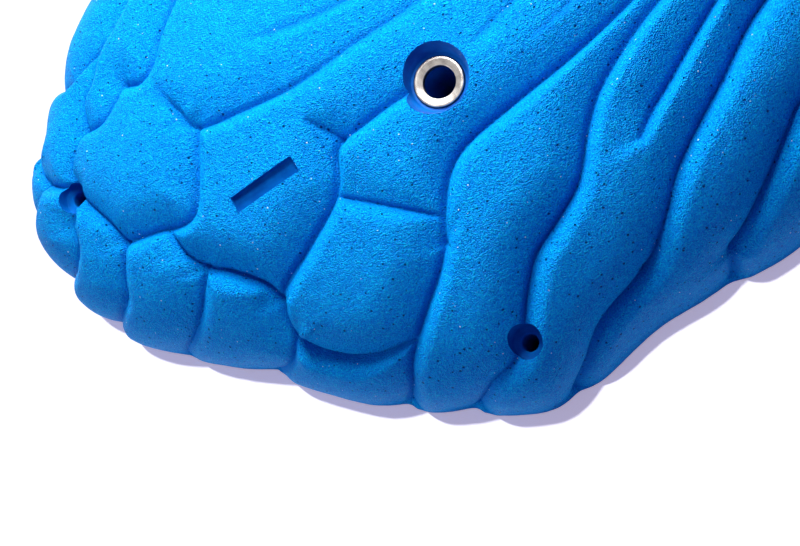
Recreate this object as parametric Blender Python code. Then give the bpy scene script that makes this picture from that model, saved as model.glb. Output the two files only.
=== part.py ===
"""A large bolt-on climbing hold: a hollow cast body with a natural rock relief, and its steel washer.

X runs along the name recess, Y points up when the hold is on the wall, Z points out of the wall.
The flat back lies on Z = 0, and the origin is the middle of the footprint.
Sizes are in millimetres, measured from the bolt axis, and are turned into metres when a mesh is made.

The outer skin is a flattened dome over a smooth rim. Cracks run over it and part it into swollen cells
and long ribs. Places on the skin are given on a flat skin map: the bearing is the one seen from above,
and the distance from the crown is the same share of the rim radius as it is of the way down the dome.
"""
import math

import bmesh
import bpy
import numpy as np
from mathutils import Matrix, Vector

MM = 0.001

# Dome
HOLD_HEIGHT = 60.0
SHOULDER_EXPONENT = 2.3
CROWN_EXPONENT = 3.0

# Plain rim, before the relief draws it in. Places in plan and on the skin map are in hundredths of its
# length and width, from the bolt axis.
HOLD_LENGTH = 320.0
HOLD_WIDTH = 232.0
RIM_POINTS = (
    (48.3, 9.4), (42.5, 31.2), (27.4, 46.7), (6.2, 53.8), (-15.2, 54.8), (-32, 49.1), (-43.7, 36.2),
    (-50.7, 24.1), (-50.2, 8.5), (-47.1, -1.1), (-43.3, -7.3), (-39, -12.4), (-34.2, -18.1),
    (-31.2, -22.9), (-25.9, -30), (-19.2, -36.6), (-12.4, -42.3), (-7.5, -44.7), (-2.2, -43.8),
    (4.3, -41.8), (9.2, -41.5), (14.8, -42), (21.3, -42), (30.7, -39.5), (39.4, -32.7), (47.6, -12.8),
)

# Relief: how deep a full pillow edge lies, how far it reaches, and the narrow crack along its foot
CRACK_DEPTH = 4.0
PILLOW_REACH = 14.0
CRACK_HALF_WIDTH = 2.4
CRACK_DEPTH_SHARE = 0.45
BLEND_POWER = 4.0

# Hollow back: how far its side wall lies inside the rim at the back plane, at the shoulder and at the ceiling
HOLLOW_HEIGHT = 34.0
HOLLOW_SHOULDER = 22.0
BACK_RIM_WIDTH = 13.0
SHOULDER_INSET = 18.0
CEILING_INSET = 38.0
BOLT_BOSS_DIAMETER = 42.0
SCREW_BOSS_DIAMETER = 20.0
RIB_THICKNESS = 6.0
RIB_BEARINGS = (0.0, 90.0)

# Bolt hole and washer
WASHER_BORE = 11.0
WASHER_DIAMETER = 17.0
WASHER_THICKNESS = 3.0
WASHER_OUTER_CHAMFER = 0.8
WASHER_INNER_CHAMFER = 0.5
WASHER_PROUD = 0.8
FIT_GAP = 0.3
BODY_BORE = 12.0
COUNTERBORE_DEPTH = 6.8
COUNTERBORE_FLOOR_DIAMETER = 19.4
COUNTERBORE_MOUTH_DIAMETER = 24.0

# Set-screw pockets: place in plan, and depth of the pocket floor under the plain dome
SCREW_BORE = 5.8
SCREW_POCKET_DIAMETER = 11.4
FRONT_SCREW = (-6.0, -36.6)
FRONT_POCKET_DEPTH = 9.5
LEFT_SCREW = (-42.3, 18.8)
LEFT_POCKET_DEPTH = 10.5

# Name recess: its middle in plan
RECESS_MIDDLE = (-20.9, 0.7)
RECESS_LENGTH = 25.5
RECESS_WIDTH = 5.8
RECESS_DEPTH = 2.2

# Cracks on the skin map, each a line of places with the depth there in hundredths of a full pillow edge.
# A depth of 0 fades the crack out.
CRACKS = {
    "left_lobe_edge": ((-6.9, 54.4, 69), (-11.3, 44.1, 93), (-15.6, 36.3, 107), (-20, 32.1, 107),
                       (-23.7, 29.3, 107), (-26.4, 29, 107), (-29.9, 29.2, 106), (-32.3, 31.1, 101),
                       (-35.3, 32.8, 94), (-42.5, 38, 82)),
    "small_lobe_left": ((-23.8, 29.3, 72), (-25.5, 27.5, 79), (-26.5, 25.7, 79), (-28.3, 24, 86),
                        (-29.2, 20.7, 114)),
    "small_lobe_foot": ((-29.2, 20.7, 104), (-26.8, 19.6, 85), (-24.8, 20.6, 91), (-23.5, 21.9, 104)),
    "top_lobe_foot": ((-23.5, 21.9, 114), (-21.8, 20.4, 86), (-20.1, 21, 79), (-18.5, 23.6, 93),
                      (-16.7, 25.7, 100), (-14.4, 28.1, 93), (-10.6, 32.8, 93), (-6.3, 40.6, 100),
                      (-2.5, 53.6, 83)),
    "big_cell_left": ((-29.2, 20.7, 116), (-30.7, 19.4, 109), (-32.2, 17.7, 116), (-32.4, 16, 124),
                      (-32.2, 14.5, 109)),
    "hollow_lobe_left": ((-46.3, 32.8, 71), (-40.7, 28.5, 78), (-38, 26, 79), (-38.1, 23.3, 80),
                         (-36.7, 19.9, 91)),
    "hollow_lobe_foot": ((-36.7, 19.9, 91), (-34.9, 17.8, 105), (-33.3, 16.4, 111), (-32.4, 16, 105)),
    "screw_lobe_left": ((-36.7, 19.9, 91), (-38.4, 19.3, 88), (-41, 19, 85), (-44.1, 19.2, 79),
                        (-51.3, 21.6, 71)),
    "screw_lobe_right": ((-33, 13.6, 62), (-33.7, 12.5, 80), (-34.7, 11.7, 93), (-35.4, 9.8, 93),
                         (-36.9, 8.7, 92), (-40, 8.5, 86), (-51.6, 10.8, 71)),
    "big_cell_foot_left": ((-32.2, 14.5, 98), (-31.7, 12.7, 85), (-30.4, 8.4, 85), (-30, 5.5, 98)),
    "big_cell_foot": ((-30, 5.5, 109), (-26.6, 4.1, 109), (-24.1, 2.8, 109), (-22.2, 3.3, 102),
                      (-20.4, 6.8, 102), (-18.7, 11.1, 109)),
    "rim_seam_one": ((-30, 5.5, 93), (-32.2, 2.5, 93), (-34.2, 0.5, 93), (-39.1, 0, 83), (-47.9, 1.3, 71)),
    "recess_cell_left": ((-25.3, 3.2, 78), (-25.1, -0.3, 91), (-24.4, -2.9, 110)),
    "rim_seam_two": ((-24.4, -2.9, 105), (-25.6, -4.4, 93), (-28.1, -6.7, 86), (-32.4, -8.2, 69),
                     (-41.9, -8.2, 38)),
    "recess_cell_foot": ((-24.4, -2.9, 124), (-22.7, -4.9, 124), (-20.8, -8.3, 124), (-20.6, -10.8, 116)),
    "recess_cell_right": ((-8.7, 0.3, 116), (-9.6, -0.6, 116), (-11.4, -4.5, 116), (-15.4, -7.4, 116),
                          (-19.8, -9.8, 116), (-20.6, -10.8, 116)),
    "low_cell_edge": ((-20.6, -10.8, 116), (-21.6, -13.7, 116), (-21.7, -16.2, 116), (-20.4, -18.9, 116),
                      (-18.5, -21, 124), (-16.1, -22.2, 124), (-12.9, -22.6, 116)),
    "rim_seam_three": ((-22, -14.8, 93), (-23.2, -16, 86), (-25.7, -17.3, 68), (-33.8, -17.7, 57)),
    "bolt_cell_left": ((-10.3, 4.3, 13), (-9.7, 2.8, 52), (-9.2, 1.6, 85), (-8.7, 0.3, 104)),
    "bolt_cell_top": ((-8.7, 0.3, 104), (-6.8, 0.4, 104), (-4.8, 0.6, 98), (-2.2, 0.6, 85)),
    "bolt_cell_foot": ((-11.4, -4.5, 78), (-8.8, -7.7, 72), (-5, -12.6, 85)),
    "tongue_edge": ((-20.1, 19.9, 0), (-20, 16.5, 39), (-19.5, 13.9, 78), (-18.7, 11.1, 98),
                    (-14.3, 9.4, 85), (-9.8, 8.2, 65), (-4.9, 8.2, 45), (0.9, 8.2, 29), (6.9, 8.6, 0)),
    "low_cell_right": ((-5.9, -15.2, 109), (-7.7, -17.6, 116), (-10.2, -20.2, 116), (-12.6, -22.7, 116),
                       (-14.6, -25, 109), (-17.3, -28.6, 99), (-21.7, -32.6, 84)),
    "rib_one": ((-5.9, -15.2, 117), (-4.9, -12.7, 117), (-2.9, -9.2, 125), (-0.4, -7.4, 125),
                (4.2, -6.4, 125), (9.6, -5.4, 117), (15, -3.8, 101), (21.9, -0.9, 94), (30, 4.3, 101),
                (39.1, 10.8, 99), (46.9, 16.4, 90)),
    "rib_two": ((-15.6, -38.2, 90), (-12.5, -34.7, 82), (-9.7, -32, 75), (-6.9, -30.8, 86),
                (-5, -29.1, 109), (-2.7, -25.2, 125), (-0.4, -21.6, 125), (2.4, -19.5, 125),
                (5.2, -17.1, 117), (7.9, -12.7, 117), (10.7, -9.4, 109), (16.4, -5.6, 86),
                (24.4, -2.2, 94), (35, 0.9, 109), (48.5, 4.3, 90)),
    "rib_three": ((10.8, -16.6, 55), (12.5, -14.8, 101), (14.6, -13.1, 117), (18.9, -9.6, 117),
                  (22.8, -6.9, 117), (28.8, -4.8, 94), (38.2, -3.5, 0)),
    "rib_four": ((-5.5, -43.8, 90), (-4.2, -41, 88), (-1.9, -37.2, 82), (0.9, -33, 89),
                 (4.9, -30.8, 115), (6.1, -30, 140), (7.2, -28.6, 109), (10.1, -24.2, 94),
                 (12.5, -20.9, 109), (17.7, -16.1, 125), (23.6, -11, 125), (31.3, -7.8, 117),
                 (39.1, -7.3, 107), (48.2, -9.5, 90)),
    "rib_five": ((13.9, -40.9, 72), (13.3, -35.6, 89), (13.5, -34.2, 135), (15.1, -31.4, 107),
                 (17.5, -28.2, 109), (20.8, -24.1, 117), (23.1, -21.8, 117), (29.7, -18.6, 117),
                 (37.5, -19, 103), (44.7, -24.2, 90)),
    "rib_six": ((25, -21.6, 39), (28.8, -27.6, 88), (30.7, -33.7, 90), (32.5, -40.6, 90)),
    "fold_one": ((2.7, 0.5, 0), (4.6, 1.4, 20), (7.3, 2.3, 25), (16.3, 5.6, 35), (26.3, 5.2, 0)),
    "fold_two": ((5.9, -2.2, 0), (8.7, -1.7, 22), (11.7, -0.8, 25), (16.3, 0.9, 0)),
    "fold_three": ((-12.5, 16.2, 0), (-9.8, 14.9, 20), (-5.5, 13.4, 32), (0.6, 12.5, 30), (7.5, 11.7, 0)),
    "fold_four": ((5.6, 5.2, 0), (15, 10.4, 50), (26.3, 15.5, 65), (35, 21.6, 70), (43.2, 28.5, 75)),
    "top_rib_one": ((-12.5, 25.9, 0), (-5.6, 22.5, 65), (5, 20.7, 91), (15.6, 23.3, 98), (25, 31.1, 95),
                    (30.7, 43.2, 75)),
    "top_rib_two": ((-8.1, 31.1, 0), (-1.9, 30.2, 65), (4.4, 32, 91), (10.3, 38.9, 96), (13.8, 53.6, 75)),
    "top_rib_three": ((15.6, 23.3, 98), (13.1, 29.4, 78), (10.3, 38.9, 96)),
    "top_rim_seam": ((-15.6, 36.3, 98), (-20, 41.9, 90), (-25, 51.8, 75)),
    "right_cell_one": ((35, 21.6, 84), (36.9, 14.7, 85), (34.4, 7.3, 91)),
    "right_cell_two": ((26.3, 15.5, 85), (28.8, 9.5, 65), (26.3, 2.6, 32)),
    "right_cell_three": ((35, 7.8, 90), (37.8, 4.3, 86), (36.9, 1.3, 94)),
    "right_cell_four": ((25, 31.1, 95), (28.8, 25.1, 78), (35, 21.6, 84)),
}

# Mesh fineness
RINGS = 120
SECTORS = 480
CRACK_STEP = 1.5
RIM_STEP = 1.0
SKIN_TRIANGLES = 9800
HOLLOW_SECTORS = 72
ROUND_SEGMENTS = 40
CUTTER_MARGIN = 5.0
ARC_SAMPLES = 400


def in_mm(places):
    """Places given in hundredths of the length, the width and, where there is a third column, the depth."""
    rows = np.array(places, dtype=float)
    return rows * np.array([HOLD_LENGTH, HOLD_WIDTH, CRACK_DEPTH])[:rows.shape[-1]] / 100


def smooth_through(points, step, closed=False):
    """Points about one step apart on a smooth curve through the given points, with all their columns."""
    rows = np.array(points, dtype=float)
    if closed:
        ends = np.vstack([rows[-1], rows, rows[:2]])
    else:
        ends = np.vstack([2 * rows[0] - rows[1], rows, 2 * rows[-1] - rows[-2]])
    curve = []
    for before, start, end, after in zip(ends, ends[1:], ends[2:], ends[3:]):
        count = max(2, math.ceil(np.linalg.norm((end - start)[:2]) / step))
        for share in np.arange(count) / count:
            square, cube = share ** 2, share ** 3
            curve.append(0.5 * (2 * start + (end - before) * share
                                + (2 * before - 5 * start + 4 * end - after) * square
                                + (3 * start - before - 3 * end + after) * cube))
    curve.append(ends[-2])
    return np.array(curve)


def rim_curve():
    """Bearing in radians and rim radius, sampled closely on a smooth closed curve."""
    x, y = smooth_through(in_mm(RIM_POINTS), RIM_STEP, closed=True)[:-1].T
    return np.arctan2(y, x), np.hypot(x, y)


RIM_BEARING, RIM_RADIUS = rim_curve()


def rim_radius(bearing):
    return np.interp(bearing, RIM_BEARING, RIM_RADIUS, period=2 * math.pi)


def arc_table():
    """Share of the way from crown to rim, with the share of the radius and of the height there."""
    angle = np.linspace(0.0, math.pi / 2, ARC_SAMPLES)
    radius = np.sin(angle) ** (2 / SHOULDER_EXPONENT)
    height = np.cos(angle) ** (2 / CROWN_EXPONENT)
    height[-1] = 0.0
    steps = np.hypot(np.diff(radius) * RIM_RADIUS.min(), np.diff(height) * HOLD_HEIGHT)
    way = np.concatenate([[0.0], np.cumsum(steps)])
    return way / way[-1], radius, height


WAY, RADIUS_SHARE, HEIGHT_SHARE = arc_table()


def dome_point(way, bearing):
    """Point of the plain dome."""
    radius = np.interp(way, WAY, RADIUS_SHARE) * rim_radius(bearing)
    height = np.interp(way, WAY, HEIGHT_SHARE) * HOLD_HEIGHT
    return np.stack([radius * np.cos(bearing), radius * np.sin(bearing), height], axis=-1)


def skin_to_dome(x, y):
    """Point of the plain dome at a place on the skin map."""
    bearing = np.arctan2(y, x)
    return dome_point(np.clip(np.hypot(x, y) / rim_radius(bearing), 0.0, 1.0), bearing)


def above_plan(x, y):
    """Way and bearing of the dome's point above a place in plan."""
    bearing = np.arctan2(y, x)
    return np.interp(np.hypot(x, y) / rim_radius(bearing), RADIUS_SHARE, WAY), bearing


def dome_normal(way, bearing, nudge=0.004):
    outer, inner = np.minimum(way + nudge, 1.0), np.maximum(way - nudge, 0.0)
    down = dome_point(outer, bearing) - dome_point(inner, bearing)
    around = dome_point(way, bearing + nudge) - dome_point(way, bearing - nudge)
    normal = np.cross(down, around)
    return normal / np.linalg.norm(normal, axis=-1, keepdims=True)


def relief_depth(points):
    """How far the cracks draw each point in: a wide pillow edge, with a narrow crack along its foot."""
    total = np.zeros(len(points))
    for places in CRACKS.values():
        path = smooth_through(in_mm(places), CRACK_STEP)
        line = skin_to_dome(path[:, 0], path[:, 1])
        apart = np.linalg.norm(points[:, None, :] - line[None, :, :], axis=2)
        nearest = apart.argmin(axis=1)
        distance = apart[np.arange(len(points)), nearest]
        depth = np.maximum(path[nearest, 2], 0.0)
        pillow = np.maximum(1.0 - distance / PILLOW_REACH, 0.0) ** 2
        narrow = CRACK_DEPTH_SHARE * np.exp(-(distance / CRACK_HALF_WIDTH) ** 2)
        total += (depth * (pillow + narrow)) ** BLEND_POWER
    return total ** (1.0 / BLEND_POWER)


def skin_point(way, bearing):
    """Point of the skin with its relief."""
    points = dome_point(way, bearing)
    return points - dome_normal(way, bearing) * relief_depth(points)[:, None]


def dome_grid(rings, sectors):
    """Ways and bearings of a crown point and the rings round it."""
    way = np.concatenate([[1e-4], np.repeat(np.arange(1, rings + 1) / rings, sectors)])
    bearing = np.concatenate([[0.0], np.tile(np.arange(sectors) * 2 * math.pi / sectors, rings)])
    return way, bearing


def grid_faces(rings, sectors):
    faces = [(0, 1 + i, 1 + (i + 1) % sectors) for i in range(sectors)]
    for ring in range(rings - 1):
        inner, outer = 1 + ring * sectors, 1 + (ring + 1) * sectors
        for i in range(sectors):
            j = (i + 1) % sectors
            faces.append((inner + i, outer + i, outer + j, inner + j))
    return faces


def new_object(name, mesh):
    item = bpy.data.objects.new(name, mesh)
    bpy.context.scene.collection.objects.link(item)
    return item


def evaluated_mesh(item):
    graph = bpy.context.evaluated_depsgraph_get()
    return bpy.data.meshes.new_from_object(item.evaluated_get(graph), depsgraph=graph)


def as_cutter(item):
    item.hide_render = True
    item.display_type = 'WIRE'
    return item


def cut(item, tool):
    boolean = item.modifiers.new(tool.name, 'BOOLEAN')
    boolean.operation = 'DIFFERENCE'
    boolean.solver = 'EXACT'
    boolean.object = tool


def turned_mesh(name, profile, segments=ROUND_SEGMENTS):
    """Closed solid turned round Z from (radius, height) points that run down its outside."""
    bm = bmesh.new()
    rings = []
    for radius, height in profile:
        if radius == 0.0:
            rings.append([bm.verts.new((0.0, 0.0, height * MM))] * segments)
            continue
        turn = [2 * math.pi * i / segments for i in range(segments)]
        rings.append([bm.verts.new((radius * MM * math.cos(a), radius * MM * math.sin(a), height * MM))
                      for a in turn])
    if profile[0][0] > 0.0:
        rings.append(rings[0])
    for upper, lower in zip(rings, rings[1:]):
        for i in range(segments):
            j = (i + 1) % segments
            corners = dict.fromkeys((upper[i], lower[i], lower[j], upper[j]))
            bm.faces.new(corners)
    bmesh.ops.recalc_face_normals(bm, faces=bm.faces)
    mesh = bpy.data.meshes.new(name)
    bm.to_mesh(mesh)
    bm.free()
    return mesh


def box_mesh(name, length, width, height):
    bm = bmesh.new()
    bmesh.ops.create_cube(bm, size=1.0)
    bmesh.ops.scale(bm, verts=bm.verts, vec=(length * MM, width * MM, height * MM))
    mesh = bpy.data.meshes.new(name)
    bm.to_mesh(mesh)
    bm.free()
    return mesh


def skin_mesh():
    """Outer skin with its relief, thinned where it is smooth, then closed by the flat back."""
    points = skin_point(*dome_grid(RINGS, SECTORS))
    points[-SECTORS:, 2] = 0.0
    dense = bpy.data.meshes.new("dense_skin")
    dense.from_pydata((points * MM).tolist(), [], grid_faces(RINGS, SECTORS))
    guide = new_object("dense_skin", dense)
    thin = guide.modifiers.new("thin", 'DECIMATE')
    thin.ratio = SKIN_TRIANGLES / (2 * RINGS * SECTORS)
    skin = evaluated_mesh(guide)
    bpy.data.objects.remove(guide)

    bm = bmesh.new()
    bm.from_mesh(skin)
    rim_edges = [edge for edge in bm.edges if edge.is_boundary]
    rim_verts = {vert for edge in rim_edges for vert in edge.verts}
    for vert in bm.verts:
        vert.co.z = 0.0 if vert in rim_verts else max(vert.co.z, FIT_GAP * MM)
    bmesh.ops.contextual_create(bm, geom=rim_edges)
    bmesh.ops.recalc_face_normals(bm, faces=bm.faces)
    bm.to_mesh(skin)
    bm.free()
    return skin


def hollow_cutter():
    """The space at the back: the rim drawn inwards, less the bosses and the ribs that stay standing."""
    turn = np.arange(HOLLOW_SECTORS) * 2 * math.pi / HOLLOW_SECTORS
    levels = [(HOLLOW_HEIGHT, CEILING_INSET), (HOLLOW_SHOULDER, SHOULDER_INSET), (0.0, BACK_RIM_WIDTH),
              (-CUTTER_MARGIN, BACK_RIM_WIDTH)]
    bm = bmesh.new()
    loops = []
    for height, inset in levels:
        radius = rim_radius(turn) - inset
        loops.append([bm.verts.new((r * math.cos(a) * MM, r * math.sin(a) * MM, height * MM))
                      for r, a in zip(radius, turn)])
    bm.faces.new(loops[0])
    bm.faces.new(loops[-1])
    for upper, lower in zip(loops, loops[1:]):
        for i in range(HOLLOW_SECTORS):
            j = (i + 1) % HOLLOW_SECTORS
            bm.faces.new((upper[i], lower[i], lower[j], upper[j]))
    bmesh.ops.recalc_face_normals(bm, faces=bm.faces)
    mesh = bpy.data.meshes.new("hollow")
    bm.to_mesh(mesh)
    bm.free()
    hollow = as_cutter(new_object("hollow", mesh))

    tall = HOLD_HEIGHT + 2 * CUTTER_MARGIN
    bosses = [("bolt_boss", BOLT_BOSS_DIAMETER, (0.0, 0.0)),
              ("front_screw_boss", SCREW_BOSS_DIAMETER, in_mm(FRONT_SCREW)),
              ("left_screw_boss", SCREW_BOSS_DIAMETER, in_mm(LEFT_SCREW))]
    for name, diameter, (x, y) in bosses:
        radius, low = diameter / 2, -2 * CUTTER_MARGIN
        profile = [(0.0, tall), (radius, tall), (radius, low), (0.0, low)]
        boss = as_cutter(new_object(name, turned_mesh(name, profile)))
        boss.location = (x * MM, y * MM, 0.0)
        cut(hollow, boss)
    for number, rib_bearing in enumerate(RIB_BEARINGS, 1):
        name = f"rib_{number}"
        rib = as_cutter(new_object(name, box_mesh(name, 3 * RIM_RADIUS.max(), RIB_THICKNESS, 3 * tall)))
        rib.rotation_euler.z = math.radians(rib_bearing)
        cut(hollow, rib)
    return hollow


def bolt_cutter():
    """Bore, washer pocket and tapered counterbore, as one turned shape."""
    floor = HOLD_HEIGHT - COUNTERBORE_DEPTH
    pocket_floor = floor + WASHER_PROUD - WASHER_THICKNESS - FIT_GAP
    pocket_radius = WASHER_DIAMETER / 2 + FIT_GAP
    floor_radius = COUNTERBORE_FLOOR_DIAMETER / 2
    mouth_radius = COUNTERBORE_MOUTH_DIAMETER / 2
    taper = (mouth_radius - floor_radius) / COUNTERBORE_DEPTH
    top = HOLD_HEIGHT + CUTTER_MARGIN
    profile = [(0.0, top), (mouth_radius + taper * CUTTER_MARGIN, top), (floor_radius, floor),
               (pocket_radius, floor), (pocket_radius, pocket_floor), (BODY_BORE / 2, pocket_floor),
               (BODY_BORE / 2, -CUTTER_MARGIN), (0.0, -CUTTER_MARGIN)]
    return as_cutter(new_object("bolt_hole", turned_mesh("bolt_hole", profile)))


def screw_cutter(name, place, pocket_depth):
    x, y = in_mm(place)
    top = HOLD_HEIGHT + CUTTER_MARGIN
    floor = dome_point(*above_plan(x, y))[2] - pocket_depth
    profile = [(0.0, top), (SCREW_POCKET_DIAMETER / 2, top), (SCREW_POCKET_DIAMETER / 2, floor),
               (SCREW_BORE / 2, floor), (SCREW_BORE / 2, -CUTTER_MARGIN), (0.0, -CUTTER_MARGIN)]
    tool = as_cutter(new_object(name, turned_mesh(name, profile, ROUND_SEGMENTS // 2)))
    tool.location = (x * MM, y * MM, 0.0)
    return tool


def recess_cutter():
    """Box with its long side along X, sunk square to the skin between the middles of its four sides."""
    x, y = in_mm(RECESS_MIDDLE)
    x = x + np.array([-0.5, 0.5, 0.0, 0.0]) * RECESS_LENGTH
    y = y + np.array([0.0, 0.0, -0.5, 0.5]) * RECESS_WIDTH
    left, right, low, high = (Vector(point) for point in skin_point(*above_plan(x, y)))
    along = (right - left).normalized()
    normal = along.cross(high - low).normalized()
    across = normal.cross(along)
    middle = (left + right + low + high) / 4 + normal * (CUTTER_MARGIN - RECESS_DEPTH)
    mesh = box_mesh("name_recess", RECESS_LENGTH, RECESS_WIDTH, 2 * CUTTER_MARGIN)
    tool = as_cutter(new_object("name_recess", mesh))
    turn = Matrix((along, across, normal)).transposed()
    tool.matrix_world = Matrix.Translation(middle * MM) @ turn.to_4x4()
    return tool


def washer_mesh():
    top = HOLD_HEIGHT - COUNTERBORE_DEPTH + WASHER_PROUD
    bottom = top - WASHER_THICKNESS
    outer, inner = WASHER_DIAMETER / 2, WASHER_BORE / 2
    profile = [(outer - WASHER_OUTER_CHAMFER, top), (outer, top - WASHER_OUTER_CHAMFER), (outer, bottom),
               (inner, bottom), (inner, top - WASHER_INNER_CHAMFER), (inner + WASHER_INNER_CHAMFER, top)]
    return turned_mesh("bolt_washer", profile)


def material(name, colour, roughness, metallic):
    finish = bpy.data.materials.new(name)
    finish.use_nodes = True
    shader = finish.node_tree.nodes["Principled BSDF"]
    shader.inputs["Base Color"].default_value = (*colour, 1.0)
    shader.inputs["Roughness"].default_value = roughness
    shader.inputs["Metallic"].default_value = metallic
    return finish


def shade(item, finish, sharp_angle=35.0):
    item.data.materials.append(finish)
    item.data.shade_smooth()
    item.data.set_sharp_from_angle(angle=math.radians(sharp_angle))


def build():
    for item in list(bpy.data.objects):
        bpy.data.objects.remove(item)

    skin = skin_mesh()
    corners = np.array([vert.co for vert in skin.vertices])
    middle = (corners.min(axis=0) + corners.max(axis=0)) / 2
    base = bpy.data.objects.new("bolt_axis", None)
    bpy.context.scene.collection.objects.link(base)
    base.location = (-middle[0], -middle[1], 0.0)

    body = new_object("hold_body", skin)
    tools = [hollow_cutter(), bolt_cutter(),
             screw_cutter("front_screw", FRONT_SCREW, FRONT_POCKET_DEPTH),
             screw_cutter("left_screw", LEFT_SCREW, LEFT_POCKET_DEPTH), recess_cutter()]
    for tool in tools:
        cut(body, tool)
    washer = new_object("bolt_washer", washer_mesh())
    shade(body, material("blue_polyurethane", (0.0, 0.13, 0.62), 0.62, 0.0))
    shade(washer, material("plated_steel", (0.62, 0.6, 0.57), 0.32, 1.0))
    for item in bpy.data.objects:
        if item is not base:
            item.parent = base


build()
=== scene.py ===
import math

import bmesh
import bpy
import numpy as np
from mathutils import Matrix, Vector


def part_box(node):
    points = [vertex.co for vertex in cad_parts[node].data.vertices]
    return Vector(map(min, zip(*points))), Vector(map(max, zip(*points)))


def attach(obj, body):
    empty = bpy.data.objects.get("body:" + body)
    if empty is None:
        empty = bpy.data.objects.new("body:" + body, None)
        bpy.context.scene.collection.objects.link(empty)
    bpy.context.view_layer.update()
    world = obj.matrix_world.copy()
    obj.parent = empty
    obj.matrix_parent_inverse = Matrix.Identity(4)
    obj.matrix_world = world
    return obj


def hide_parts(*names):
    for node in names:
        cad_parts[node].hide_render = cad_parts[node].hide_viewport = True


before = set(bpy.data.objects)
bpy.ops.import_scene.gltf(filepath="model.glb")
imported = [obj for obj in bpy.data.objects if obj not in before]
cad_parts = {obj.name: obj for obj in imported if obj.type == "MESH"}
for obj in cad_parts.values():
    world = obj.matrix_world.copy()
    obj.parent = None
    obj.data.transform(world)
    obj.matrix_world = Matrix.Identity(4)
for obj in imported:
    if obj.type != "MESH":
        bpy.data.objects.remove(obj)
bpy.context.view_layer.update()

mm = 0.001  # sizes below are in millimetres, and places are measured from the bolt axis


# Node helpers: arithmetic on sockets, and one way to add any node

class Wire:
    def __init__(self, socket):
        self.socket = socket
        self.tree = socket.id_data

    def out(self, name):
        return Wire(pickSocket(self.socket.node.outputs, name))

    def apply(self, kind, operation, others):
        return addNode(self.tree, kind, {"operation": operation}, dict(enumerate((self, *others))))

    def math(self, operation, *others):
        return self.apply("ShaderNodeMath", operation, others)

    def vector(self, operation, *others):
        return self.apply("ShaderNodeVectorMath", operation, others)

    def __add__(self, other):
        return self.math("ADD", other)

    def __sub__(self, other):
        return self.math("SUBTRACT", other)

    def __mul__(self, other):
        return self.math("MULTIPLY", other)

    def __truediv__(self, other):
        return self.math("DIVIDE", other)

    def __pow__(self, other):
        return self.math("POWER", other)

    def __rsub__(self, other):
        return self.math("MULTIPLY_ADD", -1.0, other)

    def __rtruediv__(self, other):
        return (self ** -1.0) * other

    __radd__ = __add__
    __rmul__ = __mul__


def pickSocket(sockets, key):
    if isinstance(key, int):
        return sockets[key]
    exact = [s for s in sockets if s.identifier == key]
    return exact[0] if exact else next(s for s in sockets if s.name == key and s.enabled)


def feed(node, sockets):
    for key, value in sockets.items():
        target = pickSocket(node.inputs, key)
        if isinstance(value, Wire):
            value.tree.links.new(value.socket, target)
        else:
            target.default_value = value


def addNode(tree, kind, settings=None, sockets=None):
    node = tree.nodes.new(kind)
    for key, value in (settings or {}).items():
        setattr(node, key, value)
    feed(node, sockets or {})
    return Wire(next(s for s in node.outputs if s.enabled))


def ease(value, low, high, start=0.0, end=1.0):
    return addNode(value.tree, "ShaderNodeMapRange", {"interpolation_type": "SMOOTHSTEP"},
                   {"Value": value, "From Min": low, "From Max": high, "To Min": start, "To Max": end})


# The shape of the plain dome, as in the solid model

dome = {
    "height": 60.0,
    "length": 320.0,
    "width": 232.0,
    "shoulderExponent": 2.3,
    "crownExponent": 3.0,
    "rimStep": 1.0,
    "poleWay": 1e-4,  # just off the pole, where a bearing still has a meaning
    "rings": 250,
    "sectors": 1040,
    "skinTriangles": 184000,  # what the relief is thinned to
}

# Places in plan and on the skin map are in hundredths of the length and the width, from the bolt axis
rim = (
    (48.3, 9.4), (42.5, 31.2), (27.4, 46.7), (6.2, 53.8), (-15.2, 54.8), (-32, 49.1), (-43.7, 36.2),
    (-50.7, 24.1), (-50.2, 8.5), (-47.1, -1.1), (-43.3, -7.3), (-39, -12.4), (-34.2, -18.1),
    (-31.2, -22.9), (-25.9, -30), (-19.2, -36.6), (-12.4, -42.3), (-7.5, -44.7), (-2.2, -43.8),
    (4.3, -41.8), (9.2, -41.5), (14.8, -42), (21.3, -42), (30.7, -39.5), (39.4, -32.7), (47.6, -12.8),
)
planScale = np.array([dome["length"], dome["width"]]) / 100


def smoothThrough(points, step, closed=False):
    rows = np.array(points, dtype=float)
    before, after = (rows[-1], rows[:2]) if closed else (2 * rows[0] - rows[1], 2 * rows[-1] - rows[-2])
    ends = np.vstack([before, rows, after])
    curve = []
    for before, start, end, after in zip(ends, ends[1:], ends[2:], ends[3:]):
        count = max(2, math.ceil(np.linalg.norm((end - start)[:2]) / step))
        for share in np.arange(count) / count:
            curve.append(0.5 * (2 * start + (end - before) * share
                                + (2 * before - 5 * start + 4 * end - after) * share ** 2
                                + (3 * start - before - 3 * end + after) * share ** 3))
    curve.append(ends[-2])
    return np.array(curve)


rimLoop = smoothThrough(np.array(rim) * planScale, dome["rimStep"], closed=True)[:-1]
rimBearing = np.arctan2(rimLoop[:, 1], rimLoop[:, 0])
rimDistance = np.hypot(rimLoop[:, 0], rimLoop[:, 1])


def rimRadius(bearing):
    return np.interp(bearing, rimBearing, rimDistance, period=2 * math.pi)


# Shares of the way down the dome, from the pole to the edge on the wall, with the place there
def wayTable(samples=400):
    angle = np.linspace(0.0, math.pi / 2, samples)
    radius = np.sin(angle) ** (2 / dome["shoulderExponent"])
    height = np.cos(angle) ** (2 / dome["crownExponent"])
    height[-1] = 0.0
    steps = np.hypot(np.diff(radius) * rimDistance.min(), np.diff(height) * dome["height"])
    way = np.concatenate([[0.0], np.cumsum(steps)])
    return way / way[-1], radius, height


wayShare, radiusShare, heightShare = wayTable()


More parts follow.
